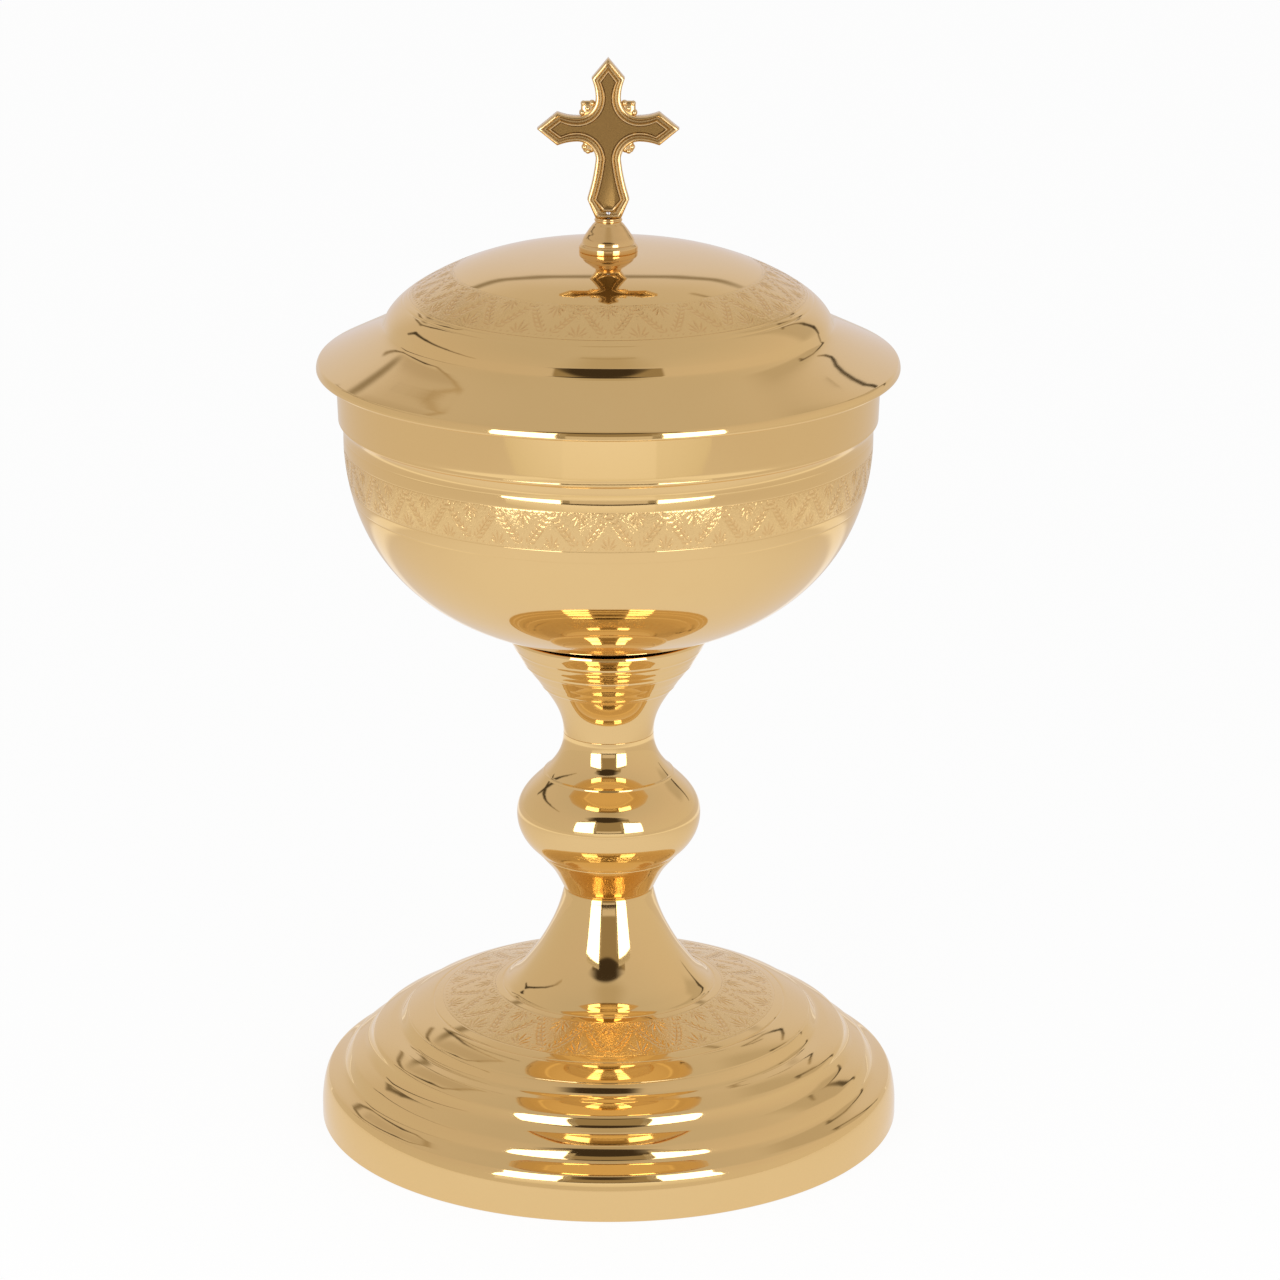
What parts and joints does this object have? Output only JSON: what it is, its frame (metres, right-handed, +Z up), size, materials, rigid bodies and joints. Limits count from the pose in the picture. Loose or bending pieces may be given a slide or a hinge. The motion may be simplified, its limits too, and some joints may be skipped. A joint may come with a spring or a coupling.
{
  "type": "ciborium",
  "caption": "Covered chalice-like cup for communion wafers on a stepped foot and round knop, with a domed lift-off lid and a cross finial.",
  "frame": {"origin": "on the table, under the middle of the foot", "axes": "+Z up the stem to the cross, the cross's arms along X, its face towards -Y"},
  "size_m": [0.14, 0.14, 0.2596],
  "materials": {
    "polished_gilt": "mirror-polished gilt brass with bright-cut bands",
    "cast_gilt": "gilt casting, polished edges and darker sunk fields",
    "inner_brass": "turned, unpolished",
    "zinc_steel": "zinc plated"
  },
  "bodies": {
    "base": {"foot_shell": "polished_gilt", "foot_rim_ring": "inner_brass", "foot_pressure_washer": "inner_brass", "foot_spring_washer": "zinc_steel", "foot_nut": "zinc_steel", "tie_rod": "zinc_steel", "knop": "polished_gilt", "calyx": "polished_gilt", "cup_boss": "inner_brass", "cup_bowl": "polished_gilt"},
    "lid": {"lid_shell": "polished_gilt", "lid_plug_ring": "polished_gilt", "knob": "polished_gilt", "finial_cross": "cast_gilt", "finial_stud": "zinc_steel", "finial_washer": "inner_brass", "finial_nut": "inner_brass"}
  },
  "joints": [
    {"name": "lid_lift", "type": "slide", "parent": "base", "child": "lid", "axis": [0, 0, 1], "range_m": [0, 0.1]}
  ]
}
